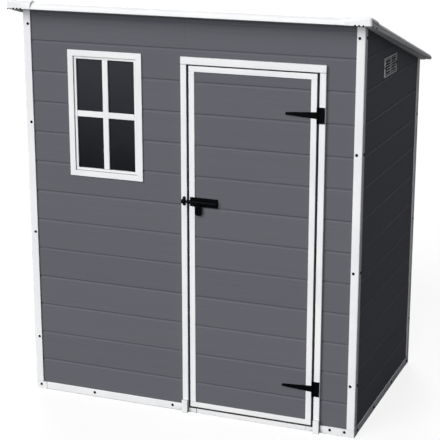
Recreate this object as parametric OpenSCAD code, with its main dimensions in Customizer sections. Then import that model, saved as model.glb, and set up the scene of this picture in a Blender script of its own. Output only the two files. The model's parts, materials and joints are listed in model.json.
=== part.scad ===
// Garden shed with a pent roof, planked panels, a hinged door and a slide bolt
// The front looks along -Y, the ground is z = 0, and the origin lies under the middle of the roof

/* [Walls] */
// Width over the corner posts
shed_width = 1740; // [1600:5:2000]
// Depth over the corner posts
shed_depth = 1080; // [900:5:1300]
// Thickness of the wall panels
panel_thickness = 18; // [14:1:22]
// Height of one moulded plank
plank_pitch = 152.25; // [120:0.25:180]
// Height of the line that the planks are counted from
plank_start = 14; // [0:1:40]
// Width of the groove between two planks
groove_width = 16; // [8:0.5:22]
// Width of the groove's flat floor
groove_floor = 4; // [1:0.5:8]
// Depth of the groove between two planks
groove_depth = 3.5; // [1:0.5:5]

/* [Posts and base] */
// Width of each leg of the corner posts
post_leg = 40; // [30:1:55]
// Thickness of the corner posts and of the base rails' upstand
post_thickness = 8; // [5:1:12]
// Radius of the posts' outer corner
post_round = 5; // [2:0.5:7]
// Height of the base rails
base_height = 40; // [32:1:55]
// Height of the ledge on which the wall panels stand
ledge_height = 20; // [12:1:24]
// Width of the ledge that shows inside the wall panels
ledge_margin = 2; // [1:0.5:6]
// Length of each leg of the corner feet
foot_leg = 60; // [50:1:90]
// Thickness of the floor
floor_thickness = 24; // [16:1:30]

/* [Roof] */
// Height of the roof's top plane at its front edge
roof_height = 2046; // [1980:1:2200]
// Slope of the roof towards the back, in degrees
roof_pitch = 15.5; // [10:0.5:18]
// Thickness of the roof panel, measured plumb
roof_thickness = 34; // [22:1:45]
// Joint between the top of the walls and posts and the roof panel
roof_joint = 0.1; // [0.05:0.05:0.5]
// Overhang at the front
overhang_front = 69; // [55:1:100]
// Overhang at the back
overhang_back = 73; // [45:0.5:100]
// Overhang at each side
overhang_side = 43; // [36:1:80]
// Depth of the front fascia
fascia_depth = 46; // [40:1:48]
// Height of the front fascia
fascia_height = 41; // [36:1:60]
// Radius of the fascia's round nose
fascia_round = 31; // [10:0.5:34]
// Thickness of the drip lip under the fascia
drip_lip = 10; // [5:1:16]
// Width of the side trims and depth of the back trim
trim_width = 30; // [20:1:34]
// Height of the trims at the back edge
back_height = 27; // [24:1:36]
// Radius of the side trims' outer top edge
trim_round = 18; // [4:1:18]
// Width and depth of the groove under that edge
trim_groove = 3; // [1:0.5:4]
// Length of each leg of the caps on the roof's front corners
cap_length = 125; // [80:1:180]
// How far the caps stand proud of the fascia and the side trims
cap_proud = 4; // [1:0.5:6]
// Radius of the caps' nose along the front
cap_round = 26; // [10:0.5:34]
// Radius of the caps' nose and upright edge at the corner
cap_corner = 13; // [6:0.5:20]
// How far the rail on top of the front wall reaches down from the height of the roof
top_rail_drop = 76; // [60:1:100]
// How far that rail stands proud of the wall at its lower edge
top_rail_proud = 8; // [3:0.5:8]
// How far it stands proud at its top
top_rail_lip = 2; // [1:0.5:3]

/* [Window] */
// How far the window lies left of the middle of its wall panel
window_shift = 4; // [0:1:30]
// Width of the window frame
window_width = 396; // [300:1:440]
// Height of the window frame
window_height = 630; // [400:1:800]
// Width of the window frame's face
window_face = 30; // [24:1:40]
// Width of the stepped bead inside the face
window_bead = 13; // [8:1:20]
// How far the bead lies behind the face
bead_step = 7; // [3:0.5:7.5]
// Overlap of the frame's face on the wall
window_lap = 24; // [12:1:30]
// Thickness of the glass
glass_thickness = 4; // [3:0.5:6]
// Depth of the groove that holds the glass
glass_seat = 6; // [4:0.5:8]

/* [Doorway] */
// Distance of the doorway from the right side of the shed
doorway_margin = 207; // [150:1:260]
// Clear width of the doorway
doorway_width = 661; // [560:1:700]
// How far the tops of the door frame and the window frame lie below the roof's front edge
head_drop = 236; // [180:1:330]
// Width of the jambs' face
jamb_face = 30; // [24:1:40]
// How far the jambs stand proud of the wall
jamb_proud = 16; // [13:1:24]
// Thickness of the jamb lining
lining = 8; // [5:1:12]
// Height of the head's face
head_face = 35; // [26:1:50]
// Depth of the stop strips behind the door
stop_depth = 8; // [5:1:12]
// Width of the stop strips
stop_width = 20; // [16:1:30]
// Open joint between two stop strips
stop_joint = 1; // [0.5:0.5:3]
// Height of the sleeves at the foot of the jambs
sleeve_height = 67; // [50:1:90]
// How far the sleeves stand proud of the jambs
sleeve_proud = 12; // [8:0.5:16]
// How far the sleeves are shifted away from the doorway
sleeve_shift = 1.5; // [1:0.5:6]
// Length of the sleeve's tongue along the sill
sleeve_tongue = 42; // [25:1:70]
// Height of the sill
sill_height = 24; // [16:1:28]

/* [Door] */
// Gap between the door and each jamb
door_gap_side = 12; // [10:0.5:16]
// Gap between the door and the head
door_gap_top = 6; // [5:0.5:12]
// Gap between the door and the sill
door_gap_bottom = 12; // [8:0.5:20]
// Thickness of the door
door_thickness = 26; // [24:1:30]
// Gap between the door and the stop strips
stop_gap = 6; // [5:0.5:10]
// Width of the door's side rails
stile_width = 29; // [24:1:40]
// Height of the door's top and bottom rails
rail_width = 27; // [22:1:40]
// How far the door panel lies behind the door's face
panel_recess = 4; // [3:0.5:6]
// Depth of the panel's tongue in the door's rails
panel_tongue = 6; // [4:0.5:10]

/* [Hinges] */
// How far the upper hinge lies below the top of the door frame
upper_hinge_drop = 233; // [150:1:350]
// How far the lower hinge lies above the ground
lower_hinge_rise = 229; // [180:1:350]
// Thickness of the hinge plates and straps
hinge_sheet = 3; // [2:0.5:4]
// Radius of the hinge knuckles
knuckle_radius = 5; // [4.5:0.25:5.5]
// Radius of the hinge pins
pin_radius = 2.5; // [2:0.1:3]
// Clearance round the hinge pins
pin_clearance = 0.1; // [0.05:0.05:0.3]
// Clearance between two knuckles
knuckle_gap = 0.5; // [0.3:0.1:1]
// Width of the hinge plate
plate_width = 28; // [22:1:30]
// Height of the hinge plate
plate_height = 76; // [60:1:100]
// Length of the strap
strap_length = 158; // [110:1:260]
// Height of the strap at the knuckle
strap_root = 32; // [24:1:40]
// Height of the strap at its tip
strap_tip = 13; // [8:1:20]

/* [Slide bolt] */
// Height of the slide bolt
bolt_z = 1108; // [900:1:1300]
// Distance of the bolt body from the door's edge
bolt_inset = 5; // [3:0.5:14]
// Length of the bolt body
bolt_body_length = 144; // [120:1:200]
// Height of the bolt body's base
bolt_base_height = 45; // [34:1:60]
// Thickness of the bolt's and keeper's base plates
bolt_sheet = 3; // [2:0.5:4]
// Radius of the sliding rod
rod_radius = 6; // [4:0.5:8]
// Running clearance round the rod
rod_clearance = 0.5; // [0.3:0.1:1]
// Wall of the barrel round the rod
barrel_wall = 3; // [2:0.5:4]
// Gap between the rod and the base plate
rod_standoff = 2; // [1.5:0.5:4]
// Travel of the bolt
bolt_travel = 36; // [30:1:44]
// How far the rod's nose stands out of the body when drawn back
nose_out = 16; // [6:1:17]
// Distance of the lug's middle from the body's end
lug_offset = 46; // [44:1:80]
// Width of the lug
lug_width = 33; // [28:1:46]
// Length of the lug below the bolt body
lug_drop = 43; // [30:1:60]
// Thickness of the lug
lug_thickness = 5; // [3:0.5:6]
// Width of the lug's neck
neck_width = 12; // [8:1:20]
// Distance of the keeper from the doorway
keeper_inset = 6; // [5:0.5:12]
// Width of the keeper
keeper_width = 16; // [10:1:18]
// Height of the keeper
keeper_height = 46; // [36:1:60]
// Clearance between the rod and the keeper's loop
keeper_clearance = 2; // [1:0.25:3]

/* [Vents] */
// Distance of the vents' front edge from the front of the shed
vent_setback = 370; // [250:1:450]
// Width of the vents
vent_width = 216; // [180:1:300]
// Height of the vents
vent_height = 93; // [70:1:110]
// How far the vents lie below the roof
vent_drop = 34; // [20:1:120]
// Width of the rim round the louvres
vent_rim = 6.5; // [6:0.5:20]
// How far the vents stand proud of the wall
vent_proud = 7; // [4:0.5:10]
// Width of the bar between the two columns of louvres
vent_bar = 6; // [6:1:16]
// Number of louvres in a column
louvre_count = 6; // [3:1:8]
// Thickness of a louvre
louvre_sheet = 2; // [1.5:0.5:4]
// Slope of the louvres, in degrees
louvre_slope = 12; // [10:1:45]

/* [Hidden] */
$fn = 48;

grey = [0.39, 0.39, 0.41];
white = [0.95, 0.95, 0.95];
black = [0.04, 0.04, 0.05];
smoke = [0.16, 0.16, 0.18];

// Outer faces of the posts and of the panels, then the panels' inner faces and the ledges' inner edges
half_w = shed_width / 2;
half_d = shed_depth / 2;
wall_x = half_w - post_thickness;
wall_y = half_d - post_thickness;
room_x = wall_x - panel_thickness;
room_y = wall_y - panel_thickness;
floor_x = room_x - ledge_margin;
floor_y = room_y - ledge_margin;

// How far a cut runs past the face that it opens
past = 1;
// Number of flats along a round edge
arc_steps = 8;

// Roof planes
roof_front = -half_d - overhang_front;
roof_back = half_d + overhang_back;
roof_side = half_w + overhang_side;
slope = tan(roof_pitch);
function roof_top(y) = roof_height - (y - roof_front) * slope;
function roof_under(y) = roof_top(y) - roof_thickness;
// Lower edge of the side trims, which taper from the fascia to the back trim
function trim_under(y) =
    let (share = (y - roof_front) / (roof_back - roof_front))
    roof_top(y) - fascia_height - share * (back_height - fascia_height);

// Doorway and door
doorway_right = half_w - doorway_margin;
doorway_left = doorway_right - doorway_width;
head_line = roof_height - head_drop;
head_under = head_line - head_face;
jamb_front = -wall_y - jamb_proud;
door_left = doorway_left + door_gap_side;
door_right = doorway_right - door_gap_side;
door_bottom = sill_height + door_gap_bottom;
door_top = head_under - door_gap_top;
door_back = jamb_front + door_thickness;
stop_front = door_back + stop_gap;
stop_back = stop_front + stop_depth;
door_panel_front = jamb_front + panel_recess;

// Window, in the middle of the panel between the corner post and the jamb but for its shift
window_left = (post_leg - half_w + doorway_left - jamb_face - window_width) / 2 - window_shift;
glass_y = -wall_y + panel_thickness / 2;
window_pane = window_face + window_bead;

// Vents, just under the roof
vent_y0 = -half_d + vent_setback;
vent_y1 = vent_y0 + vent_width;
vent_bottom = roof_under(vent_y1) - vent_drop - vent_height;

// Hinge axis, midway between the door and the jamb, with the knuckles on the door's face
hinge_x = doorway_right - door_gap_side / 2;
hinge_y = jamb_front - knuckle_radius;

// Slide bolt
bolt_left = door_left + bolt_inset;
bolt_right = bolt_left + bolt_body_length;
rod_y = jamb_front - bolt_sheet - rod_standoff - rod_radius;
barrel_radius = rod_radius + rod_clearance + barrel_wall;
lug_x = bolt_left + lug_offset;
lug_radius = lug_width / 2;

// A shape drawn in Y and Z, drawn out along X
module along_x(x0, x1) {
    translate([x0, 0, 0]) rotate([90, 0, 90]) linear_extrude(x1 - x0) children();
}

// A shape drawn in X and Z, drawn out along Y
module along_y(y0, y1) {
    translate([0, y1, 0]) rotate([90, 0, 0]) linear_extrude(y1 - y0) children();
}

// A block between two corners
module block(low, high) {
    translate(low) cube(high - low);
}

// The space between the ground and the roof panel
module below_roof() {
    along_x(-half_w, half_w) polygon([
        [-half_d, 0],
        [half_d, 0],
        [half_d, roof_under(half_d) - roof_joint],
        [-half_d, roof_under(-half_d) - roof_joint]]);
}

// Section of a planked panel, from its face inwards, with a groove at each plank line
function planked(face, inner, low, high) =
    let (into = face + sign(inner - face) * groove_depth, half = groove_width / 2, flat = groove_floor / 2)
    concat(
        [[inner, low], [face, low]],
        [for (line = [plank_start + plank_pitch : plank_pitch : high - groove_width])
            if (line > low + groove_width)
                each [[face, line - half], [into, line - flat], [into, line + flat], [face, line + half]]],
        [[face, high], [inner, high]]);

// A planked panel of the front or back wall
module cross_panel(face, inner, x0, x1, low) {
    intersection() {
        along_x(x0, x1) polygon(planked(face, inner, low, roof_height));
        below_roof();
    }
}

// A planked side panel with the hole behind its vent
module side_panel(face, inner) {
    difference() {
        intersection() {
            along_y(-room_y, room_y) polygon(planked(face, inner, ledge_height, roof_height));
            below_roof();
        }
        block([min(face, inner) - past, vent_y0 + vent_rim, vent_bottom + vent_rim],
            [max(face, inner) + past, vent_y1 - vent_rim, vent_bottom + vent_height - vent_rim]);
    }
}

// Turns a piece made for the front left corner to one of the other corners
module at_corner(right, back) {
    mirror([right, 0, 0]) mirror([0, back, 0]) children();
}

// Angle section with a rounded outer corner at the front left
module angle_section(leg, thickness) {
    translate([-half_w, -half_d]) difference() {
        union() {
            translate([post_round, 0]) square([leg - post_round, leg]);
            translate([0, post_round]) square([leg, leg - post_round]);
            translate([post_round, post_round]) circle(post_round);
        }
        translate([thickness, thickness]) square(leg);
    }
}

module corner_post(right, back) {
    color(white) intersection() {
        at_corner(right, back) translate([0, 0, base_height])
            linear_extrude(roof_height - base_height) angle_section(post_leg, post_thickness);
        below_roof();
    }
}

module corner_foot() {
    ledge = half_w - floor_x;
    linear_extrude(ledge_height) angle_section(foot_leg, ledge);
    linear_extrude(base_height) angle_section(foot_leg, post_thickness);
}

module corner_feet() {
    color(white) for (right = [0, 1], back = [0, 1]) at_corner(right, back) corner_foot();
}

// Section of a base rail: an upstand outside, and the ledge under the wall panel
function rail_section(outer, face, inner) = [
    [outer, 0], [outer, base_height], [face, base_height],
    [face, ledge_height], [inner, ledge_height], [inner, 0]];

module front_rail(x0, x1) {
    color(white) along_x(x0, x1) polygon(rail_section(-half_d, -wall_y, -floor_y));
}

module side_rail(side) {
    color(white) along_y(-half_d + foot_leg, half_d - foot_leg)
        polygon(rail_section(side * half_w, side * wall_x, side * floor_x));
}

module base_rail_front_left() front_rail(-half_w + foot_leg, doorway_left - jamb_face - sleeve_shift);
module base_rail_front_right() front_rail(doorway_right + jamb_face + sleeve_shift, half_w - foot_leg);
module base_rail_left() side_rail(-1);
module base_rail_right() side_rail(1);

module base_rail_back() {
    color(white) along_x(-half_w + foot_leg, half_w - foot_leg)
        polygon(rail_section(half_d, wall_y, floor_y));
}

module floor_half(x0, x1) {
    color(grey) block([x0, -floor_y, 0], [x1, floor_y, floor_thickness]);
}

module floor_left() floor_half(-floor_x, 0);
module floor_right() floor_half(0, floor_x);

module post_front_left() corner_post(0, 0);
module post_front_right() corner_post(1, 0);
module post_back_left() corner_post(0, 1);
module post_back_right() corner_post(1, 1);

// A block as large as the window frame, less an inset all round
module window_block(inset, y0, y1) {
    block([window_left + inset, y0, head_line - window_height + inset],
        [window_left + window_width - inset, y1, head_line - inset]);
}

module front_wall_left() {
    color(grey) difference() {
        cross_panel(-wall_y, -room_y, -wall_x, doorway_left - lining, ledge_height);
        window_block(window_lap, -half_d, -floor_y);
    }
}

module front_wall_right() {
    color(grey) cross_panel(-wall_y, -room_y, doorway_right + lining, wall_x, ledge_height);
}

module front_wall_header() {
    color(grey)
        cross_panel(-wall_y, -room_y, doorway_left - lining, doorway_right + lining, head_under + lining);
}

// Rail on top of the front wall, between the corner posts
module front_top_rail() {
    front = -wall_y - top_rail_proud;
    lip = -wall_y - top_rail_lip;
    low = roof_height - top_rail_drop;
    color(grey) along_x(-half_w + post_leg, half_w - post_leg) polygon([
        [-wall_y, low],
        [front, low],
        [lip, roof_under(lip) - roof_joint],
        [-wall_y, roof_under(-wall_y) - roof_joint]]);
}

module back_wall() {
    color(grey) cross_panel(wall_y, room_y, -wall_x, wall_x, ledge_height);
}

module left_wall() {
    color(grey) side_panel(-wall_x, -room_x);
}

module right_wall() {
    color(grey) side_panel(wall_x, room_x);
}

module window_frame() {
    color(white) difference() {
        union() {
            window_block(0, -half_d, -wall_y);
            window_block(window_lap, -half_d + bead_step, -room_y);
        }
        window_block(window_face, -half_d - past, -half_d + bead_step);
        window_block(window_pane, -half_d - past, -room_y + past);
        window_glass();
    }
}

module window_glass() {
    color(smoke) window_block(window_pane - glass_seat, glass_y, glass_y + glass_thickness);
}

// A vent on the right wall, with two columns of sloping louvres
module vent() {
    rim_low = [wall_x, vent_y0, vent_bottom];
    rim_high = [wall_x + vent_proud, vent_y1, vent_bottom + vent_height];
    pitch = (vent_height - 2 * vent_rim) / louvre_count;
    difference() {
        block(rim_low, rim_high);
        block(rim_low + [-past, vent_rim, vent_rim], rim_high + [past, -vent_rim, -vent_rim]);
    }
    block([wall_x, (vent_y0 + vent_y1 - vent_bar) / 2, vent_bottom + vent_rim],
        [wall_x + vent_proud, (vent_y0 + vent_y1 + vent_bar) / 2, vent_bottom + vent_height - vent_rim]);
    intersection() {
        block(rim_low, rim_high);
        for (row = [0 : louvre_count - 1])
            along_y(vent_y0 + vent_rim, vent_y1 - vent_rim)
                translate([wall_x + vent_proud / 2, vent_bottom + vent_rim + (row + 0.5) * pitch])
                    rotate(-louvre_slope) square([4 * vent_proud, louvre_sheet], center = true);
    }
}

module right_vent() {
    color(white) vent();
}

module left_vent() {
    color(white) mirror([1, 0, 0]) vent();
}

// Jamb made for the left of the doorway, with its face on the wall and its lining against the wall's end
module jamb() {
    linear_extrude(head_under - base_height) union() {
        translate([-jamb_face, jamb_front]) square([jamb_face, jamb_proud]);
        translate([-lining, -wall_y]) square([lining, wall_y + stop_back]);
    }
}

module door_jamb_left() {
    color(white) translate([doorway_left, 0, base_height]) jamb();
}

module door_jamb_right() {
    color(white) translate([doorway_right, 0, base_height]) mirror([1, 0, 0]) jamb();
}

module door_head() {
    color(white) {
        block([doorway_left - jamb_face, jamb_front, head_under],
            [doorway_right + jamb_face, -wall_y, head_line]);
        block([doorway_left - lining, -wall_y - past, head_under],
            [doorway_right + lining, stop_back, head_under + lining]);
    }
}

module door_stops() {
    stop_top = head_under - stop_width;
    color(grey) {
        block([doorway_left, stop_front, base_height],
            [doorway_left + stop_width, stop_back, stop_top - stop_joint]);
        block([doorway_right - stop_width, stop_front, base_height],
            [doorway_right, stop_back, stop_top - stop_joint]);
        block([doorway_left, stop_front, stop_top], [doorway_right, stop_back, head_under]);
    }
}

// Sleeve at the foot of the left jamb, which also carries the end of the sill
module jamb_foot() {
    outer = -jamb_face - sleeve_shift;
    block([outer, -half_d, 0], [0, -floor_y, ledge_height]);
    block([outer, jamb_front, 0], [0, -wall_y, base_height]);
    block([-lining, jamb_front, 0], [0, -floor_y, base_height]);
    block([outer, jamb_front - sleeve_proud, 0], [-sleeve_shift, jamb_front, sleeve_height]);
    block([-lining, -half_d, 0], [sleeve_tongue, -floor_y, sill_height]);
}

module jamb_feet() {
    color(white) {
        translate([doorway_left, 0, 0]) jamb_foot();
        translate([doorway_right, 0, 0]) mirror([1, 0, 0]) jamb_foot();
    }
}

module door_sill() {
    color(white) block([doorway_left + sleeve_tongue, -half_d, 0],
        [doorway_right - sleeve_tongue, -floor_y, sill_height]);
}

// Points of an arc round a centre between two angles
function arc(centre, radius, from, to) =
    [for (step = [0 : arc_steps]) let (angle = from + (to - from) * step / arc_steps)
        centre + radius * [cos(angle), sin(angle)]];

// Round nose from the front up to the roof's top plane, standing proud by the amount given
function nose(front, radius, proud) =
    let (y = front + radius)
    arc([y, roof_top(y) + proud - radius / cos(roof_pitch)], radius, 180, 90 - roof_pitch);

// Section of the fascia with a nose of the radius given, its front and top standing proud
module fascia_section(radius, proud) {
    front = roof_front - proud;
    back = roof_front + fascia_depth;
    low = roof_height - fascia_height;
    polygon(concat(
        [[back, roof_under(back)], [front + drip_lip, roof_under(front + drip_lip)],
            [front + drip_lip, low], [front, low]],
        nose(front, radius, proud),
        [[back, roof_top(back) + proud]]));
}

// Section of a right trim across the slope, from its top down: a round outer edge with a groove under it
module trim_section(outer, top) {
    inner = roof_side - trim_width;
    low = top - 2 * fascia_height;
    edge = top - trim_round;
    polygon(concat(
        [[inner, low], [inner, top]],
        arc([outer - trim_round, edge], trim_round, 90, 0),
        [[outer, edge - trim_groove], [outer - trim_groove, edge - trim_groove],
            [outer - trim_groove, edge - 2 * trim_groove], [outer, edge - 2 * trim_groove],
            [outer, low]]));
}

// A right trim of the length that its side view gives, its side and top standing proud
module side_trim(proud) {
    outer = roof_side + proud;
    run = (roof_back - roof_front) / cos(roof_pitch);
    intersection() {
        along_x(roof_side - trim_width, outer) children();
        translate([0, roof_front, roof_height]) rotate([-roof_pitch, 0, 0])
            along_y(-cap_length, run + cap_length) trim_section(outer, proud * cos(roof_pitch));
    }
}

// A right trim behind its cap
module plain_trim() {
    front = roof_front + cap_length;
    side_trim(0) polygon([
        [front, trim_under(front)],
        [front, roof_top(front)],
        [roof_back, roof_top(roof_back)],
        [roof_back, trim_under(roof_back)]]);
}

module roof_panel() {
    front = roof_front + fascia_depth;
    back = roof_back - trim_width;
    color(white) along_x(-roof_side + trim_width, roof_side - trim_width) polygon([
        [front, roof_under(front)],
        [front, roof_top(front)],
        [back, roof_top(back)],
        [back, roof_under(back)]]);
}

module roof_fascia() {
    color(white) along_x(-roof_side + cap_length, roof_side - cap_length) fascia_section(fascia_round, 0);
}

module roof_back_trim() {
    front = roof_back - trim_width;
    color(white) along_x(-roof_side + trim_width, roof_side - trim_width) polygon([
        [front, roof_under(front)],
        [front, roof_top(front)],
        [roof_back, roof_top(roof_back)],
        [roof_back, roof_top(roof_back) - back_height]]);
}

module roof_left_trim() {
    color(white) mirror([1, 0, 0]) plain_trim();
}

module roof_right_trim() {
    color(white) plain_trim();
}

// Outline of the right cap from above, with a round corner
module cap_outline(front, back) {
    right = roof_side + cap_proud;
    left = roof_side - cap_length;
    polygon(concat(
        [[left, front], [left, back], [right, back]],
        arc([right - cap_corner, front + cap_corner], cap_corner, 0, -90)));
}

// Caps over the two front corners of the roof
module roof_corner_caps() {
    front = roof_front - cap_proud;
    back = roof_front + cap_length;
    color(white) for (left = [0, 1]) mirror([left, 0, 0]) intersection() {
        union() {
            along_x(roof_side - cap_length, roof_side - trim_width + past)
                fascia_section(cap_round, cap_proud);
            side_trim(cap_proud) polygon(concat(
                [[back, trim_under(back)], [front, trim_under(front)]],
                nose(front, cap_corner, cap_proud),
                [[back, roof_top(back) + cap_proud]]));
        }
        linear_extrude(roof_height + cap_length) cap_outline(front, back);
    }
}

// Inside of the door's white rails
panel_left = door_left + stile_width;
panel_right = door_right - stile_width;
panel_low = door_bottom + rail_width;
panel_high = door_top - rail_width;

module door_panel() {
    color(grey) along_x(panel_left - panel_tongue, panel_right + panel_tongue)
        polygon(planked(door_panel_front, door_panel_front + panel_thickness,
            panel_low - panel_tongue, panel_high + panel_tongue));
}

module panel_seat() {
    block([panel_left - panel_tongue, door_panel_front, panel_low - panel_tongue],
        [panel_right + panel_tongue, door_panel_front + panel_thickness, panel_high + panel_tongue]);
}

module door_stiles() {
    color(white) difference() {
        union() {
            block([door_left, jamb_front, panel_low], [panel_left, door_back, panel_high]);
            block([panel_right, jamb_front, panel_low], [door_right, door_back, panel_high]);
        }
        panel_seat();
    }
}

module door_rails() {
    color(white) difference() {
        union() {
            block([door_left, jamb_front, door_bottom], [door_right, door_back, panel_low]);
            block([door_left, jamb_front, panel_high], [door_right, door_back, door_top]);
        }
        panel_seat();
    }
}

// A knuckle round the hinge pin, between two heights
module knuckle(low, high) {
    translate([hinge_x, hinge_y, low]) cylinder(r = knuckle_radius, h = high - low);
}

// Strap on the door, tapering from the knuckle to a round tip
module hinge_strap(z) {
    tip_radius = strap_tip / 2;
    tip_x = hinge_x - strap_length + tip_radius;
    color(black) difference() {
        union() {
            along_y(jamb_front - hinge_sheet, jamb_front) {
                polygon([
                    [hinge_x, z - strap_root / 2],
                    [hinge_x, z + strap_root / 2],
                    [tip_x, z + tip_radius],
                    [tip_x, z - tip_radius]]);
                translate([tip_x, z]) circle(tip_radius);
            }
            knuckle(z - strap_root / 2, z + strap_root / 2);
        }
        translate([hinge_x, hinge_y, z - strap_root])
            cylinder(r = pin_radius + pin_clearance, h = 2 * strap_root);
    }
}

// Plate on the jamb, with a knuckle above and below the strap's and the pin through all three
module hinge_plate(z) {
    inner = strap_root / 2 + knuckle_gap;
    outer = plate_height / 2;
    notch = hinge_x + knuckle_radius + knuckle_gap;
    color(black) {
        difference() {
            union() {
                block([hinge_x, jamb_front - hinge_sheet, z - outer],
                    [doorway_right + plate_width, jamb_front, z + outer]);
                knuckle(z - outer, z - inner);
                knuckle(z + inner, z + outer);
            }
            block([hinge_x - past, jamb_front - 2 * knuckle_radius, z - inner],
                [notch, jamb_front + past, z + inner]);
        }
        translate([hinge_x, hinge_y, z - outer]) cylinder(r = pin_radius, h = plate_height);
    }
}

module upper_hinge_strap() hinge_strap(head_line - upper_hinge_drop);
module lower_hinge_strap() hinge_strap(lower_hinge_rise);
module upper_hinge_plate() hinge_plate(head_line - upper_hinge_drop);
module lower_hinge_plate() hinge_plate(lower_hinge_rise);

// A round bar along X at the height of the bolt
module bolt_bar(x0, x1, radius) {
    translate([x0, rod_y, bolt_z]) rotate([0, 90, 0]) cylinder(r = radius, h = x1 - x0);
}

// Base plate and barrel, with the slot in which the lug's neck runs
module bolt_body() {
    slot = lug_thickness / 2 + rod_clearance;
    reach = neck_width / 2 + rod_clearance;
    color(black) difference() {
        union() {
            block([bolt_left, jamb_front - bolt_sheet, bolt_z - bolt_base_height / 2],
                [bolt_right, jamb_front, bolt_z + bolt_base_height / 2]);
            bolt_bar(bolt_left, bolt_right, barrel_radius);
            block([bolt_left, rod_y, bolt_z - barrel_radius / 2],
                [bolt_right, jamb_front, bolt_z + barrel_radius / 2]);
        }
        block([bolt_left - past, jamb_front, bolt_z - barrel_radius],
            [bolt_right + past, jamb_front + barrel_radius, bolt_z + barrel_radius]);
        bolt_bar(bolt_left - past, bolt_right - barrel_wall, rod_radius + rod_clearance);
        block([lug_x - reach - bolt_travel, rod_y - slot, bolt_z - 2 * barrel_radius],
            [lug_x + reach, rod_y + slot, bolt_z]);
    }
}

// Rod with its hanging lug, drawn back from the keeper
module slide_bolt() {
    lug_top = bolt_z - bolt_base_height / 2;
    lug_low = lug_top - lug_drop + lug_radius;
    color(black) {
        bolt_bar(bolt_left - nose_out, bolt_right - barrel_wall - bolt_sheet, rod_radius);
        along_y(rod_y - lug_thickness / 2, rod_y + lug_thickness / 2) {
            translate([lug_x - neck_width / 2, lug_low]) square([neck_width, bolt_z - lug_low]);
            translate([lug_x - lug_radius, lug_low]) square([lug_width, lug_top - lug_low]);
            translate([lug_x, lug_low]) circle(lug_radius);
        }
    }
}

// Keeper on the left jamb: a base plate with round ends and a loop for the rod
module bolt_keeper() {
    x0 = doorway_left - keeper_inset - keeper_width;
    x1 = doorway_left - keeper_inset;
    loop = rod_radius + keeper_clearance;
    end = keeper_width / 2;
    color(black) difference() {
        union() {
            along_y(jamb_front - bolt_sheet, jamb_front) {
                translate([x0, bolt_z - keeper_height / 2 + end])
                    square([keeper_width, keeper_height - keeper_width]);
                for (side = [-1, 1])
                    translate([x0 + end, bolt_z + side * (keeper_height / 2 - end)]) circle(end);
            }
            bolt_bar(x0, x1, loop + barrel_wall);
        }
        bolt_bar(x0 - past, x1 + past, loop);
        block([x0 - past, jamb_front, bolt_z - keeper_height],
            [x1 + past, jamb_front + 2 * barrel_radius, bolt_z + keeper_height]);
    }
}

floor_left();
floor_right();
base_rail_front_left();
base_rail_front_right();
base_rail_left();
base_rail_right();
base_rail_back();
door_sill();
corner_feet();
jamb_feet();
post_front_left();
post_front_right();
post_back_left();
post_back_right();
front_wall_left();
front_wall_right();
front_wall_header();
front_top_rail();
left_wall();
right_wall();
back_wall();
window_frame();
window_glass();
left_vent();
right_vent();
door_jamb_left();
door_jamb_right();
door_head();
door_stops();
roof_panel();
roof_fascia();
roof_back_trim();
roof_left_trim();
roof_right_trim();
roof_corner_caps();
door_panel();
door_stiles();
door_rails();
upper_hinge_strap();
lower_hinge_strap();
upper_hinge_plate();
lower_hinge_plate();
bolt_body();
bolt_keeper();
slide_bolt();
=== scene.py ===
"""Looks of the garden shed: materials, edges, screws, window bars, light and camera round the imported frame."""

import json
import math

import bmesh
import bpy
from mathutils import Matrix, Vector


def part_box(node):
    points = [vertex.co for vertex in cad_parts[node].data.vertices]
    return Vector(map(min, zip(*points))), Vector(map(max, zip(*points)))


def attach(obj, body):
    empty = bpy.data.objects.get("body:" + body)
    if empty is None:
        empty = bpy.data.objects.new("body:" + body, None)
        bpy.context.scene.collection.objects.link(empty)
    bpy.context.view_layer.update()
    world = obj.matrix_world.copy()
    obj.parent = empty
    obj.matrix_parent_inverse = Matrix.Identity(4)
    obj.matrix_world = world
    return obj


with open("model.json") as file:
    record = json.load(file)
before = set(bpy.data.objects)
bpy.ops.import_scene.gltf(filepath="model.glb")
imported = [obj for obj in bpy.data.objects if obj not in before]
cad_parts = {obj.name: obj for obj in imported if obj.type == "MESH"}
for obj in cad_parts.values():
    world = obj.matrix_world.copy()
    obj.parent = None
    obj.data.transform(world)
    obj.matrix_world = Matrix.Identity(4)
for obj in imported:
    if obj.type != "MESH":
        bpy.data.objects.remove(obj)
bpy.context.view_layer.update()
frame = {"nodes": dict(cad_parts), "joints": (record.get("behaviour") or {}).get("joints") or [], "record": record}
nodes = frame["nodes"]
MM = 0.001


# Node trees

NOISE_SPAN = (0.3, 0.7)         # where most values of a noise lie
# Painted shade: gaps and crevices, found by ambient occlusion, darken the colour of moulded parts
GAP_REACH = 60 * MM             # how far round a point is searched for what closes it in
GAP_SAMPLES = 8
GAP_SPAN = (0.28, 0.5)          # openness of a narrow gap, and of an open face
LEVEL_SHADE_SHARE = 0.16               # what a level face loses of its openness, which deepens its painted shade
LEVEL_SPAN = (0.3, 0.9)         # upward part of the normal where the deeper painted shade of level faces starts and where it is full


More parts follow.
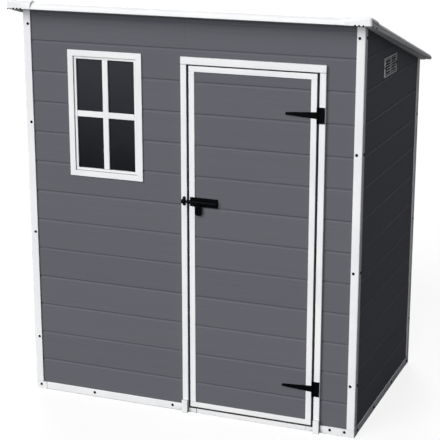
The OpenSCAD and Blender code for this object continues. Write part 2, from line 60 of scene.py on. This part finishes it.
class Nodes:
    """Short ways to add nodes to a shader's tree and to join them."""

    def __init__(self, tree):
        self.tree = tree

    def add(self, kind, inputs=None, **settings):
        """A node of this kind. Inputs are values or other nodes' outputs, by the socket's name or number."""
        node = self.tree.nodes.new(kind)
        for key, value in settings.items():
            setattr(node, key, value)
        for key, value in (inputs or {}).items():
            self.put(node.inputs[key], value)
        return node

    def put(self, socket, value):
        """Gives a socket a value, or joins it to another node's output."""
        if isinstance(value, bpy.types.NodeSocket):
            self.tree.links.new(value, socket)
        else:
            socket.default_value = value

    def math(self, operation, first, second=0.0):
        return self.add("ShaderNodeMath", {0: first, 1: second}, operation=operation).outputs[0]

    def span(self, value, low, high, to_low, to_high):
        """The value's span from low to high, mapped to another span."""
        return self.add("ShaderNodeMapRange", {
            "Value": value, "From Min": low, "From Max": high,
            "To Min": to_low, "To Max": to_high}).outputs["Result"]

    def mix(self, share, first, second):
        """Two colours, mixed by a share."""
        node = self.add("ShaderNodeMix", {"Factor": share}, data_type="RGBA")
        self.put(node.inputs["A"], first)
        self.put(node.inputs["B"], second)
        return node.outputs["Result"]


class Surface(Nodes):
    """A procedural material with a Principled shader."""

    def __init__(self, name, **settings):
        self.material = bpy.data.materials.new(name)
        self.material.use_nodes = True
        super().__init__(self.material.node_tree)
        self.shader = self.tree.nodes["Principled BSDF"]
        for key, value in settings.items():
            self.set(key.replace("_", " "), value)

    def set(self, name, value):
        self.put(self.shader.inputs[name], value)

    def place(self):
        """Where a point lies on the object at rest, in metres."""
        return self.add("ShaderNodeTexCoord").outputs["Object"]

    def along(self, axis):
        """Where it lies along one axis."""
        return self.add("ShaderNodeSeparateXYZ", {0: self.place()}).outputs[axis]

    def noise(self, waves, detail=3.0, roughness=0.55, distortion=0.0):
        """Noise of this many waves per metre: one number, or three for X, Y and Z."""
        scale = waves if isinstance(waves, tuple) else (waves, waves, waves)
        spread = self.add("ShaderNodeMapping", {"Vector": self.place(), "Scale": scale})
        return self.add("ShaderNodeTexNoise", {
            "Vector": spread.outputs["Vector"], "Scale": 1.0, "Detail": detail,
            "Roughness": roughness, "Distortion": distortion}).outputs["Fac"]

    def vary(self, noise, low, high):
        """A value between low and high that follows a noise."""
        return self.span(noise, *NOISE_SPAN, low, high)

    def facing_up(self):
        """0 on upright faces, 1 on level ones, whose painted shade in gaps is deeper."""
        normal = self.add("ShaderNodeNewGeometry").outputs["Normal"]
        upward = self.add("ShaderNodeSeparateXYZ", {0: normal}).outputs["Z"]
        return self.span(upward, *LEVEL_SPAN, 0.0, 1.0)

    def openness(self, level_share):
        """0 in a narrow gap, 1 on an open face: the mask of the painted shade in gaps. Level faces count as less
        open, so their painted shade is deeper.
        """
        near = self.add("ShaderNodeAmbientOcclusion", {"Distance": GAP_REACH}, samples=GAP_SAMPLES)
        clean = self.math("SUBTRACT", near.outputs["AO"], self.math("MULTIPLY", level_share, LEVEL_SHADE_SHARE))
        return self.span(clean, *GAP_SPAN, 0.0, 1.0)

    def from_plane(self, axis, level):
        """How far a point lies from a plane across an axis."""
        return self.math("ABSOLUTE", self.math("SUBTRACT", self.along(axis), level))

    def from_outline(self, low, high):
        """How far a point lies from the outline of a box, as seen from the front."""
        middle, half = (low + high) / 2, (high - low) / 2
        across = self.math("SUBTRACT", self.from_plane("X", middle.x), half.x)
        up = self.math("SUBTRACT", self.from_plane("Z", middle.z), half.z)
        return self.math("ABSOLUTE", self.math("MAXIMUM", across, up))

    def bump(self, height, depth, strength=1.0):
        bump = self.add("ShaderNodeBump", {"Height": height, "Distance": depth, "Strength": strength})
        self.set("Normal", bump.outputs["Normal"])


def linear(red, green, blue):
    """A colour of the screen, 0 to 255, as the linear colour that a shader takes."""
    shares = [v / 255 for v in (red, green, blue)]
    return [v / 12.92 if v <= 0.04045 else ((v + 0.055) / 1.055) ** 2.4 for v in shares] + [1.0]


# Materials: waves are counted per metre, and pairs are the low and the high end

PLANK_PITCH = 152.25 * MM               # height of a moulded plank
FIRST_PLANK = 14 * MM                   # height that the planks are counted from
PLANK_TONES = linear(97, 98, 104), linear(104, 105, 111)
PLANK_ROUGHNESS = (0.58, 0.74)
GRAIN_WAVES = (2.5, 2.5, 210.0)         # the grain is drawn out along the planks
FLECK_WAVES = (16.0, 16.0, 620.0)
GRAIN_SHARE, PLANK_SHARE = 0.6, 0.4     # parts of the grain and of the plank itself in the tone
FLECK_RISE = 0.6                        # height of the flecks beside that of the grain
GRAIN_DEPTH = 0.12 * MM


def planked_grey():
    """Moulded grey planks: a fine grain along each plank, and a tone of its own for each."""
    s = Surface("grey_panel", Specular_IOR_Level=0.07)
    grain = s.noise(GRAIN_WAVES, detail=5.0, roughness=0.62, distortion=0.25)
    fleck = s.noise(FLECK_WAVES, detail=2.0)
    plank = s.math("FLOOR", s.math("DIVIDE", s.math("SUBTRACT", s.along("Z"), FIRST_PLANK), PLANK_PITCH))
    own = s.add("ShaderNodeTexWhiteNoise", {"W": plank}, noise_dimensions="1D").outputs["Value"]
    share = s.math("ADD", s.vary(grain, 0.0, GRAIN_SHARE), s.math("MULTIPLY", own, PLANK_SHARE))
    s.set("Base Color", s.mix(share, *PLANK_TONES))
    s.set("Roughness", s.vary(fleck, *PLANK_ROUGHNESS))
    s.bump(s.math("ADD", grain, s.math("MULTIPLY", fleck, FLECK_RISE)), GRAIN_DEPTH)
    return s.material


UPRIGHT_SHADE_AND_JOINT_TONE = linear(134, 136, 134)        # painted shade of a pale moulding deep in an upright gap, and the tone of dark joint lines and of the painted shade at the window's step
LEVEL_SHADE_AND_JOINT_TONE = linear(74, 75, 74)          # painted shade on level faces deep in a gap, and the tone of the base's dark joint lines
FINE_JOINT = 1.8 * MM                   # width of the dark line in a close joint
OPEN_JOINT = 4.5 * MM                   # and in one that stands open
WINDOW_FACE = 30 * MM                   # width of the window frame's face


def no_lines(s):
    """For a moulding without joints."""
    return []


def base_lines(s):
    """The joints that show between the corner feet, the base rails, the jambs' feet and the sill."""
    sill_left, sill_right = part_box("door_sill")
    rail_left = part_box("base_rail_front_left")[0]
    across = [(rail_left.x, FINE_JOINT), (sill_left.x, OPEN_JOINT), (sill_right.x, FINE_JOINT)]
    lines = [(s.from_plane("X", x), width, LEVEL_SHADE_AND_JOINT_TONE) for x, width in across]
    return lines + [(s.from_plane("Y", end.y), FINE_JOINT, LEVEL_SHADE_AND_JOINT_TONE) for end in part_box("base_rail_left")]


def window_lines(s):
    """Painted shade along the step between the window frame's face and its bead."""
    low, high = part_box("window_frame")
    inset = Vector((WINDOW_FACE, 0, WINDOW_FACE))
    # Painted shade: a dark line along the step
    return [(s.from_outline(low + inset, high - inset), FINE_JOINT, UPRIGHT_SHADE_AND_JOINT_TONE)]


def jamb_lines(s):
    """The joint between the door's jambs and its head."""
    return [(s.from_plane("Z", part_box("door_jamb_left")[1].z), OPEN_JOINT, UPRIGHT_SHADE_AND_JOINT_TONE)]


CLOUD_WAVES = 5.0
CLOUD_SPAN = (0.35, 0.65)               # values of the cloud that are all dark and all light
STIPPLE_DEPTH = 0.1 * MM


def moulded(name, dark, light, roughness, stipple_waves, lines=no_lines):
    """Moulded plastic with a faint cloudiness, a fine stipple and painted shade in its gaps and crevices.

    Its lines are dark ones in joints, or painted shade along a step: how far a point lies from the line, the
    line's width and its tone.
    """
    s = Surface(name, Specular_IOR_Level=0.15)
    cloud = s.noise(CLOUD_WAVES, detail=4.0)
    tone = s.mix(s.span(cloud, *CLOUD_SPAN, 0.0, 1.0), dark, light)
    for apart, width, dim in lines(s):
        tone = s.mix(s.span(apart, width / 4, width / 2, 0.0, 1.0), dim, tone)
    # Painted shade: the colour darkens in gaps and crevices, most on level faces
    level_share = s.facing_up()
    gap_shade = s.mix(level_share, UPRIGHT_SHADE_AND_JOINT_TONE, LEVEL_SHADE_AND_JOINT_TONE)
    s.set("Base Color", s.mix(s.openness(level_share), gap_shade, tone))
    s.set("Roughness", s.vary(cloud, *roughness))
    s.bump(s.noise(stipple_waves, detail=2.0), STIPPLE_DEPTH, strength=0.7)
    return s.material


ROOF_TONES = linear(242, 243, 243), linear(246, 246, 246)
ROOF_ROUGHNESS = (0.5, 0.56)
ROOF_CLOUD_WAVES = 4.0
ROOF_STIPPLE_WAVES = (700.0, 90.0, 700.0)       # drawn out down the slope
ROOF_STIPPLE_DEPTH = 0.18 * MM


def roof_white():
    """White roof panel with a stipple."""
    s = Surface("white_roof", Specular_IOR_Level=0.25)
    cloud = s.noise(ROOF_CLOUD_WAVES, detail=4.0)
    s.set("Base Color", s.mix(s.span(cloud, *CLOUD_SPAN, 0.0, 1.0), *ROOF_TONES))
    s.set("Roughness", s.vary(cloud, *ROOF_ROUGHNESS))
    s.bump(s.noise(ROOF_STIPPLE_WAVES), ROOF_STIPPLE_DEPTH)
    return s.material


GLASS_TONES = linear(27, 28, 32), linear(68, 69, 75)
GLASS_CLOUD_WAVES = 6.0
REFLECTION_SHARE, CLOUD_SHARE = 0.9, 0.1    # parts of the painted reflection, paler towards the top, and of a cloudiness in the glass's tone


def smoked_glass():
    """Smoked acrylic sheet, with a painted reflection that makes it paler towards the top and deeper in tone
    towards the bottom.
    """
    low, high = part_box("window_glass")
    s = Surface("smoked_glass", Specular_IOR_Level=0.1, Roughness=0.06, Transmission_Weight=0.25)
    # Painted reflection: the sheet's colour grows paler towards its top
    painted_reflection = s.span(s.along("Z"), low.z, high.z, 0.0, REFLECTION_SHARE)
    cloud = s.vary(s.noise(GLASS_CLOUD_WAVES), 0.0, CLOUD_SHARE)
    s.set("Base Color", s.mix(s.math("ADD", painted_reflection, cloud), *GLASS_TONES))
    return s.material


COAT_TONES = linear(4, 5, 6), linear(9, 10, 11)
COAT_ROUGHNESS = (0.3, 0.42)
WEAR_WAVES = 40.0
PEEL_WAVES = 650.0
PEEL_DEPTH = 0.08 * MM


def black_coat():
    """Black powder coat on steel, with a fine orange peel."""
    s = Surface("black_hardware", Specular_IOR_Level=0.03)
    wear = s.noise(WEAR_WAVES, detail=4.0)
    s.set("Base Color", s.mix(wear, *COAT_TONES))
    s.set("Roughness", s.vary(wear, *COAT_ROUGHNESS))
    s.bump(s.noise(PEEL_WAVES, detail=2.0), PEEL_DEPTH, strength=0.8)
    return s.material


# Dark tone, light tone, roughness and waves of the stipple of the moulded parts
WHITE = linear(240, 241, 242), linear(248, 248, 248), (0.35, 0.47), 900.0
FLOOR_GREY = linear(84, 85, 89), linear(98, 99, 103), (0.55, 0.67), 400.0
MATERIALS = {
    "grey_panel": planked_grey(),
    "floor_grey": moulded("floor_grey", *FLOOR_GREY),
    "white_trim": moulded("white_trim", *WHITE),
    "white_base": moulded("white_base", *WHITE, base_lines),
    "white_window": moulded("white_window", *WHITE, window_lines),
    "white_jamb": moulded("white_jamb", *WHITE, jamb_lines),
    "white_roof": roof_white(),
    "smoked_glass": smoked_glass(),
    "black_hardware": black_coat(),
}


# The frame's materials and edges

BASE = ["corner_feet", "jamb_feet", "base_rail_front_left", "base_rail_front_right",
        "base_rail_left", "base_rail_right", "base_rail_back"]
NODE_LOOK = {"window_frame": "white_window", "door_jamb_left": "white_jamb", "door_jamb_right": "white_jamb",
             "door_sill": "white_base", **dict.fromkeys(BASE, "white_base")}    # other than that of the slot

# Radius of the edges by slot, and by node where it differs, in mm
EDGE = {"grey_panel": 0.8, "floor_grey": 1.5, "white_trim": 1.8, "white_roof": 1.0,
        "smoked_glass": 0.3, "black_hardware": 0.6}
NODE_EDGE = {"left_vent": 0.5, "right_vent": 0.5, "window_frame": 1.2, "roof_corner_caps": 1.5,
             "roof_fascia": 1.0, "door_sill": 1.5, **dict.fromkeys(BASE, 3.5)}
EDGE_SEGMENTS = 2
HARD_EDGE = math.radians(20)            # edges that turn by this much or more are hard
WELD = 0.01 * MM


def slot_of(name):
    """The material slot of a CAD node."""
    return next(p["material_slot"] for p in frame["record"]["subparts"] if p["node"] == name)


def soften(obj, radius):
    """Rounds the hard edges of a piece and shades it smoothly."""
    weld = obj.modifiers.new("weld", "WELD")
    weld.merge_threshold = WELD
    edge = obj.modifiers.new("edge", "BEVEL")
    edge.width = radius
    edge.segments = EDGE_SEGMENTS
    edge.limit_method = "ANGLE"
    edge.angle_limit = HARD_EDGE
    even = obj.modifiers.new("even", "WEIGHTED_NORMAL")
    even.keep_sharp = False


def dress_frame():
    """Gives every CAD node its material and its soft edges."""
    for name, node in nodes.items():
        slot = slot_of(name)
        node.data.materials.clear()
        node.data.materials.append(MATERIALS[NODE_LOOK.get(name, slot)])
        soften(node, NODE_EDGE.get(name, EDGE[slot]) * MM)


# Added pieces

def piece(name, mesh, slot, body, radius=None):
    """A piece of the scene from mesh code, on its body and with its slot's material."""
    data = bpy.data.meshes.new(name)
    bmesh.ops.recalc_face_normals(mesh, faces=mesh.faces)
    mesh.to_mesh(data)
    mesh.free()
    obj = bpy.data.objects.new(name, data)
    bpy.context.scene.collection.objects.link(obj)
    data.materials.append(MATERIALS[slot])
    if radius:
        soften(obj, radius)
    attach(obj, body)


def around(loop):
    """Each point of a closed loop with the one that follows it."""
    return zip(loop, loop[1:] + loop[:1])


def band(mesh, lower, upper):
    """A closed band of faces between two loops of as many points."""
    return [mesh.faces.new((a, b, d, c)) for (a, b), (c, d) in zip(around(lower), around(upper))]


BAR_WIDTH = 30 * MM         # width of a window bar
BAR_DEPTH = 9 * MM          # how far the bars stand proud of the glass
BAR_EDGE = 2.5 * MM         # radius of their edges
GLASS_SEAT = 6 * MM         # part of the glass inside the frame's groove


def window_bars():
    """The cross that divides the window into four panes, as one moulded piece in front of the glass."""
    low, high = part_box("window_glass")
    x0, x1 = low.x + GLASS_SEAT, high.x - GLASS_SEAT
    z0, z1 = low.z + GLASS_SEAT, high.z - GLASS_SEAT
    xm, zm, half = (x0 + x1) / 2, (z0 + z1) / 2, BAR_WIDTH / 2
    outline = [
        (xm - half, z0), (xm + half, z0), (xm + half, zm - half), (x1, zm - half),
        (x1, zm + half), (xm + half, zm + half), (xm + half, z1), (xm - half, z1),
        (xm - half, zm + half), (x0, zm + half), (x0, zm - half), (xm - half, zm - half)]
    mesh = bmesh.new()
    back = mesh.faces.new([mesh.verts.new((x, low.y, z)) for x, z in outline])
    grown = bmesh.ops.extrude_face_region(mesh, geom=[back])
    front = [v for v in grown["geom"] if isinstance(v, bmesh.types.BMVert)]
    bmesh.ops.translate(mesh, verts=front, vec=(0, -BAR_DEPTH, 0))
    piece("window_bars", mesh, "white_trim", "shed", BAR_EDGE)


ROOF_HEIGHT = 2046 * MM     # height of the roof's top plane at its front edge
ROOF_PITCH = math.radians(15.5)
CAP_PROUD = 4 * MM          # how far the front caps stand proud of the roof
CAP_FRONT_NOSE = 26 * MM    # radius of a cap's nose along the front
CAP_SIDE_NOSE = 13 * MM     # radius of its nose at the side
CAP_SIDE = 34 * MM          # width of a cap's side part
CAP_EASE = 80 * MM          # length over which one nose runs into the other
FRONT_SUNK = 0.7 * MM       # how far the added nose lies inside the cap's own one along the front
SIDE_SUNK = 0.2 * MM        # and at the side
NOSE_PAST = 3 * MM          # how far its lower and back edges run on into the cap
EASE_STEPS = 10
NOSE_STEPS = 14


def nose_section(front, share):
    """Outline of a cap's nose in Y and Z: the side's radius at share 0, the front's at 1."""
    def centre(radius):
        fall = (radius - CAP_PROUD) * math.tan(ROOF_PITCH)
        return front + radius, ROOF_HEIGHT - fall + CAP_PROUD - radius / math.cos(ROOF_PITCH)

    sunk = SIDE_SUNK + share * (FRONT_SUNK - SIDE_SUNK)
    radius = CAP_SIDE_NOSE + share * (CAP_FRONT_NOSE - CAP_SIDE_NOSE)
    y, z = centre(radius)
    turns = [math.pi - (math.pi / 2 + ROOF_PITCH) * i / NOSE_STEPS for i in range(NOSE_STEPS + 1)]
    arc = [(y + (radius - sunk) * math.cos(t), z + (radius - sunk) * math.sin(t)) for t in turns]
    low = (front + sunk, centre(CAP_FRONT_NOSE)[1] - NOSE_PAST)
    back = front + CAP_FRONT_NOSE + CAP_FRONT_NOSE * math.sin(ROOF_PITCH) + NOSE_PAST
    last_y, last_z = arc[-1]
    return [low, *arc, (back, last_z - (back - last_y) * math.tan(ROOF_PITCH))]


def cap_noses():
    """The round front edge of both front caps, where the nose of the front runs into that of the side."""
    low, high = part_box("roof_corner_caps")
    mesh = bmesh.new()
    for end, sign in ((low.x, 1), (high.x, -1)):
        rows = []
        for i in range(EASE_STEPS + 1):
            share = i / EASE_STEPS
            x = end + sign * (CAP_SIDE + CAP_EASE * share)
            rows.append([mesh.verts.new((x, y, z)) for y, z in nose_section(low.y, share)])
        for row, following in zip(rows, rows[1:]):
            for face in band(mesh, row, following):
                face.smooth = True
        mesh.faces.new(rows[0])
        mesh.faces.new(rows[-1])
    bmesh.ops.recalc_face_normals(mesh, faces=mesh.faces)
    for edge in mesh.edges:
        edge.smooth = edge.calc_face_angle() < HARD_EDGE
    piece("cap_noses", mesh, "white_trim", "shed")


HEAD_SIDES = 24
HEAD_HEIGHT = 0.55          # height of a screw head, as a share of its radius
HEAD_RINGS = [(1.0, -0.15), (1.0, 0.3), (0.96, 0.55), (0.86, 0.8), (0.7, 1.0)]     # shares of radius and height
CROSS_ARM = 0.5             # length of the recess's arms, as a share of the radius
CROSS_HALF = 0.13           # half their width, as a share of the radius
CROSS_DEPTH = 0.45          # depth of the recess, as a share of the height


def screw_head(mesh, seat, axis, radius):
    """A pan head with a cross recess, on a seat, looking along an axis."""
    height = HEAD_HEIGHT * radius
    turn = Vector(axis).to_track_quat("Z", "Y").to_matrix().to_4x4()
    turn.translation = Vector(seat)

    def ring(points, level):
        return [mesh.verts.new(turn @ Vector((x, y, level))) for x, y in points]

    def circle(size):
        turns = [2 * math.pi * i / HEAD_SIDES for i in range(HEAD_SIDES)]
        return [(size * math.cos(t), size * math.sin(t)) for t in turns]

    rings = [ring(circle(share * radius), level * height) for share, level in HEAD_RINGS]
    for lower, upper in zip(rings, rings[1:]):
        band(mesh, lower, upper)
    mesh.faces.new(rings[0])
    arm, half = CROSS_ARM * radius, CROSS_HALF * radius
    cross = [(half, half), (half, arm), (-half, arm), (-half, half), (-arm, half), (-arm, -half),
             (-half, -half), (-half, -arm), (half, -arm), (half, -half), (arm, -half), (arm, half)]
    mouth = ring(cross, height)
    bottom = ring(cross, height - CROSS_DEPTH * height)
    band(mesh, mouth, bottom)
    mesh.faces.new(bottom)
    rims = [mesh.edges.get(pair) for loop in (rings[-1], mouth) for pair in around(loop)]
    bmesh.ops.triangle_fill(mesh, edges=rims, use_beauty=True)


def screws(name, body, seats, radius):
    """One piece of several screw heads: each seat is a place and the axis that the head looks along."""
    mesh = bmesh.new()
    for seat, axis in seats:
        screw_head(mesh, seat, axis, radius)
    piece(name, mesh, "black_hardware", body)


FRONT, BACK, LEFT, RIGHT = (0, -1, 0), (0, 1, 0), (-1, 0, 0), (1, 0, 0)
POST_SCREW = 6.8 * MM       # radius of the screw heads on posts and rails
POST_LINE = 27 * MM         # distance of a post's screws from the shed's corner
BACK_POST_SCREWS = [266, 835, 1404]
POST_SCREWS = {             # heights, in mm
    "post_front_left": [292, 862, 1434, 1925], "post_front_right": [266, 835, 1404, 1940],
    "post_back_left": BACK_POST_SCREWS, "post_back_right": BACK_POST_SCREWS}


def post_screws():
    """Screws down both faces of each corner post."""
    seats = []
    for name, heights in POST_SCREWS.items():
        low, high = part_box(name)
        side_x, side, inward = (low.x, LEFT, POST_LINE) if low.x < 0 else (high.x, RIGHT, -POST_LINE)
        face_y, face, behind = (low.y, FRONT, POST_LINE) if low.y < 0 else (high.y, BACK, -POST_LINE)
        for z in heights:
            seats.append(((side_x + inward, face_y, z * MM), face))
            seats.append(((side_x, face_y + behind, z * MM), side))
    screws("post_screws", "shed", seats, POST_SCREW)


RAIL_SCREW_LEVEL = 24 * MM
LEFT_FOOT_LINE = 28 * MM    # distance of the left feet's screws from the shed's corner
RIGHT_FOOT_LINE = 50 * MM   # and of the right feet's
FRONT_RAIL_SCREWS = [-529, -88, 746]            # places along X, in mm
BACK_RAIL_SCREWS = [-529, 0, 529]
SIDE_RAIL_SCREWS = [-190, 160]                  # places along Y, in mm


def rail_screws():
    """Screws along the base rails and in the corner feet."""
    low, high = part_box("corner_feet")
    seats = [((x * MM, low.y, RAIL_SCREW_LEVEL), FRONT) for x in FRONT_RAIL_SCREWS]
    seats += [((x * MM, high.y, RAIL_SCREW_LEVEL), BACK) for x in BACK_RAIL_SCREWS]
    for x, side, inward, line in ((low.x, LEFT, 1, LEFT_FOOT_LINE), (high.x, RIGHT, -1, RIGHT_FOOT_LINE)):
        seats += [((x, y * MM, RAIL_SCREW_LEVEL), side) for y in SIDE_RAIL_SCREWS]
        for y, face, behind in ((low.y, FRONT, 1), (high.y, BACK, -1)):
            seats.append(((x + inward * line, y, RAIL_SCREW_LEVEL), face))
            seats.append(((x, y + behind * line, RAIL_SCREW_LEVEL), side))
    screws("rail_screws", "shed", seats, POST_SCREW)


HINGE_SCREW = 3.2 * MM
SHEET = 3 * MM              # thickness of the straps, the plates and the bases of bolt and keeper
KNUCKLE_REACH = 9 * MM      # how far from the pin the free part of a plate starts
STRAP_SCREWS = [24, 62, 104]                    # distances from the hinge's pin, in mm
PLATE_SCREW_RISE = [-26, 0, 26]                 # heights from the hinge's middle, in mm


def hinge_screws():
    """Screws through the straps into the door, and through the plates into the jamb."""
    pin = Vector(next(j["pos_m"] for j in frame["joints"] if j["name"] == "door_hinge"))
    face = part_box("door_rails")[0].y - SHEET
    for level in ("upper", "lower"):
        low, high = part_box(level + "_hinge_strap")
        middle = (low.z + high.z) / 2
        seats = [((pin.x - d * MM, face, middle), FRONT) for d in STRAP_SCREWS]
        screws(level + "_strap_screws", "door", seats, HINGE_SCREW)
        low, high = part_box(level + "_hinge_plate")
        line = (pin.x + KNUCKLE_REACH + high.x) / 2
        seats = [((line, face, middle + d * MM), FRONT) for d in PLATE_SCREW_RISE]
        screws(level + "_plate_screws", "shed", seats, HINGE_SCREW)


BOLT_SCREW = 2.6 * MM
KEEPER_SCREW = 2.4 * MM
BOLT_SCREW_INSET = 6.5 * MM     # distance of both from the edges of the bolt and the keeper


def bolt_screws():
    """Screws in the corners of the bolt's base and in the keeper's two ends."""
    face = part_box("door_rails")[0].y - SHEET
    low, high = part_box("bolt_body")
    ends = (low.x + BOLT_SCREW_INSET, high.x - BOLT_SCREW_INSET)
    levels = (low.z + BOLT_SCREW_INSET, high.z - BOLT_SCREW_INSET)
    screws("bolt_screws", "door", [((x, face, z), FRONT) for x in ends for z in levels], BOLT_SCREW)
    low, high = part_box("bolt_keeper")
    x = (low.x + high.x) / 2
    levels = (low.z + BOLT_SCREW_INSET, high.z - BOLT_SCREW_INSET)
    screws("keeper_screws", "shed", [((x, face, z), FRONT) for z in levels], KEEPER_SCREW)


CAP_SCREW = 4.5 * MM
CAP_SCREW_RISE = 6 * MM     # height of the screws above the cap's lower edge
CAP_SCREWS = [840, 859, 878]                    # distances from the shed's middle, in mm
CAP_SIDE_SCREWS = [14, 83]                      # distances behind the cap's front, in mm


def cap_screws():
    """Small screws along the lower edge of each front cap: three in its front and two in its side."""
    low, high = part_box("roof_corner_caps")
    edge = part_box("roof_fascia")[0].z
    fall = (edge - low.z) / (high.y - low.y)
    level = edge + CAP_SCREW_RISE
    seats = []
    for side, sign, x in ((LEFT, -1, low.x), (RIGHT, 1, high.x)):
        seats += [((sign * d * MM, low.y, level), FRONT) for d in CAP_SCREWS]
        seats += [((x, low.y + d * MM, level - fall * d * MM), side) for d in CAP_SIDE_SCREWS]
    screws("cap_screws", "shed", seats, CAP_SCREW)


VENT_RIM = 6.5 * MM
VENT_SCREW = 6 * MM


def vent_screws():
    """A screw halfway up each side rim of both vents."""
    seats = []
    for name, side in (("left_vent", LEFT), ("right_vent", RIGHT)):
        low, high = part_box(name)
        x = low.x if side == LEFT else high.x
        middle = (low.z + high.z) / 2
        seats += [((x, y, middle), side) for y in (low.y + VENT_RIM / 2, high.y - VENT_RIM / 2)]
    screws("vent_screws", "shed", seats, VENT_SCREW)


# Stage, light and camera

FLOOR_SIZE = 40.0           # metres from the floor's middle to its edges
FLOOR_DROP = 0.5 * MM       # how far the floor lies under the object
FLOOR_GLOW = 0.84           # the floor's own white, as the camera sees it
FLOOR_SHADE = 0.22          # how much of the light and shadow on it the camera sees
FLOOR_BOUNCE = 0.13         # how much of the light it throws back on the object
FLOOR_GRAIN = (0.98, 1.02)
FLOOR_GRAIN_WAVES = 0.5
PURE_WHITE = (1, 1, 1, 1)


def stage_floor():
    """A wide pale floor that keeps the shadow."""
    mesh = bmesh.new()
    bmesh.ops.create_grid(mesh, x_segments=2, y_segments=2, size=FLOOR_SIZE)
    data = bpy.data.meshes.new("stage_floor")
    mesh.to_mesh(data)
    mesh.free()
    floor = bpy.data.objects.new("stage_floor", data)
    floor.location.z = -FLOOR_DROP
    bpy.context.scene.collection.objects.link(floor)
    s = Surface("stage_white", Roughness=0.9, Specular_IOR_Level=0.0)
    seen = s.add("ShaderNodeLightPath").outputs["Is Camera Ray"]
    grain = s.vary(s.noise(FLOOR_GRAIN_WAVES), *FLOOR_GRAIN)
    s.set("Base Color", s.math("MULTIPLY", s.span(seen, 0.0, 1.0, FLOOR_BOUNCE, FLOOR_SHADE), grain))
    s.set("Emission Color", PURE_WHITE)
    s.set("Emission Strength", s.math("MULTIPLY", seen, FLOOR_GLOW))
    data.materials.append(s.material)


AMBIENT = 0.13              # strength of the light from all round
AMBIENT_TINT = (0.96, 0.98, 1.1, 1.0)


def surround():
    """A white surround for what the camera and gloss see, which lights the object only dimly."""
    world = bpy.data.worlds.new("surround")
    world.use_nodes = True
    bpy.context.scene.world = world
    n = Nodes(world.node_tree)
    path = n.add("ShaderNodeLightPath").outputs
    seen = path["Is Camera Ray"]
    for ray in ("Is Glossy Ray", "Is Transmission Ray"):
        seen = n.math("MAXIMUM", seen, path[ray])
    back = world.node_tree.nodes["Background"]
    n.put(back.inputs["Color"], n.mix(seen, AMBIENT_TINT, PURE_WHITE))
    n.put(back.inputs["Strength"], n.span(seen, 0.0, 1.0, AMBIENT, 1.0))


# Strength of each light, the way that it shines and its spread in degrees
KEY_LIGHT = 3.04, (0.28, 0.85, -0.45), 56       # from the front left
BACK_LIGHT = 2.0, (0.45, -0.85, -0.5), 30       # from behind


def sun(name, strength, toward, spread):
    """A light from far away."""
    light = bpy.data.lights.new(name, "SUN")
    light.energy = strength
    light.angle = math.radians(spread)
    obj = bpy.data.objects.new(name, light)
    obj.rotation_euler = Vector(toward).to_track_quat("-Z", "Y").to_euler()
    bpy.context.scene.collection.objects.link(obj)


CAMERA_PLACE = (2.48527, -6.40191, 2.80146)     # metres
CAMERA_LOOK = (-0.353428, 0.895382, -0.270887)
CAMERA_LENS = 111.05                            # mm
CAMERA_SENSOR = 36                              # mm
CAMERA_REACH = 200                              # metres


def camera():
    """The photo's camera."""
    data = bpy.data.cameras.new("camera")
    data.lens = CAMERA_LENS
    data.sensor_width = CAMERA_SENSOR
    data.clip_end = CAMERA_REACH
    obj = bpy.data.objects.new("camera", data)
    obj.location = CAMERA_PLACE
    obj.rotation_euler = Vector(CAMERA_LOOK).to_track_quat("-Z", "Y").to_euler()
    bpy.context.scene.collection.objects.link(obj)
    bpy.context.scene.camera = obj


dress_frame()
window_bars()
cap_noses()
post_screws()
rail_screws()
hinge_screws()
bolt_screws()
cap_screws()
vent_screws()
stage_floor()
surround()
sun("key", *KEY_LIGHT)
sun("fill", *BACK_LIGHT)
camera()
bpy.context.scene.view_settings.view_transform = "Standard"
